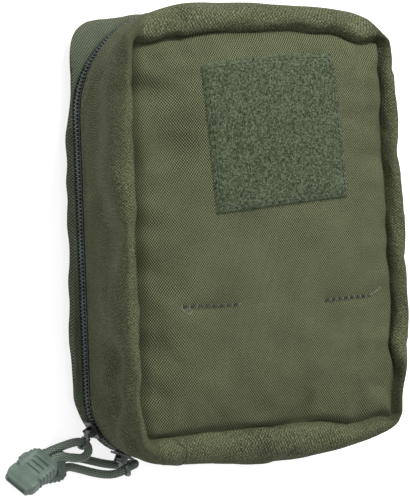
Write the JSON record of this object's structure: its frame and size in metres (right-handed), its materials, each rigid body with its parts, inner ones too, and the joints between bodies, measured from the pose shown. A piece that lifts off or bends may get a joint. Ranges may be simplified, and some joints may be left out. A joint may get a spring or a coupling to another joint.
{
  "type": "first aid kit",
  "caption": "Zipped fabric first aid pouch in olive cloth: a deep stuffed front half with a loop patch swings up from a shallow back half that holds dressings.",
  "frame": {"origin": "on the table under the middle of the pouch, which lies on its back", "axes": "+X to the right seen from the front, +Y to the pouch's top edge, +Z out of the front panel"},
  "size_m": [0.1829, 0.2135, 0.072],
  "materials": {
    "pouch_cloth": "heavy woven nylon",
    "loop_pile": "matte loop pile",
    "webbing": "woven nylon webbing",
    "zip_tape": "woven tape",
    "zip_coil": "moulded nylon coil",
    "slider_metal": "satin black",
    "cord": "braided nylon",
    "cord_end_plastic": "moulded satin",
    "stud_metal": "satin black",
    "lining_cloth": "thin woven nylon",
    "elastic": "ribbed elastic",
    "cotton": "crepe bandage",
    "foil_wrap": "film bag",
    "paper_wrap": "sealed paper pouch",
    "carton": "plain carton",
    "tape": "cloth tape"
  },
  "bodies": {
    "rear_half": {"rear_shell": "pouch_cloth", "hinge_strip": "pouch_cloth", "webbing_row_1": "webbing", "webbing_row_2": "webbing", "webbing_row_3": "webbing", "back_strap_left": "webbing", "back_strap_right": "webbing", "rear_zip_tape": "zip_tape", "rear_zip_coil": "zip_coil", "press_stud_left": "stud_metal", "press_stud_right": "stud_metal", "organiser_panel": "lining_cloth", "elastic_loop_left": "elastic", "elastic_loop_middle": "elastic", "elastic_loop_right": "elastic", "bandage_left": "cotton", "bandage_middle": "cotton", "bandage_right": "cotton", "foil_blanket_pack": "foil_wrap", "dressing_pack": "paper_wrap", "plaster_pack": "carton", "tape_roll": "tape"},
    "cover": {"front_gusset": "pouch_cloth", "front_panel": "pouch_cloth", "loop_patch": "loop_pile", "lid_pocket": "lining_cloth", "lid_pocket_binding": "lining_cloth", "front_zip_tape": "zip_tape", "front_zip_coil": "zip_coil"},
    "slider_a": {"slider_a": "slider_metal"},
    "slider_b": {"slider_b": "slider_metal"},
    "pull_a": {"pull_tab_a": "slider_metal", "cord_loop_a": "cord", "cord_end_a": "cord_end_plastic"},
    "pull_b": {"pull_tab_b": "slider_metal", "cord_loop_b": "cord", "cord_end_b": "cord_end_plastic"}
  },
  "joints": [
    {"name": "cover_hinge", "type": "hinge", "parent": "rear_half", "child": "cover", "pos_m": [0, -0.1013, 0.0205], "axis": [1, 0, 0], "range_deg": [0, 95]},
    {"name": "slider_a_travel", "type": "hinge", "parent": "rear_half", "child": "slider_a", "pos_m": [-0.038, -0.07, 0.015], "axis": [0, 0, 1], "range_deg": [-21, 4]},
    {"name": "slider_b_travel", "type": "hinge", "parent": "rear_half", "child": "slider_b", "pos_m": [-0.038, -0.07, 0.015], "axis": [0, 0, 1], "range_deg": [0, 14]},
    {"name": "pull_a_swing", "type": "hinge", "parent": "slider_a", "child": "pull_a", "pos_m": [-0.0671, -0.0868, 0.015], "axis": [0, 0, 1], "range_deg": [-45, 6]},
    {"name": "pull_b_swing", "type": "hinge", "parent": "slider_b", "child": "pull_b", "pos_m": [-0.05167, -0.1007, 0.015], "axis": [0, 0, 1], "range_deg": [-20, 0]}
  ]
}
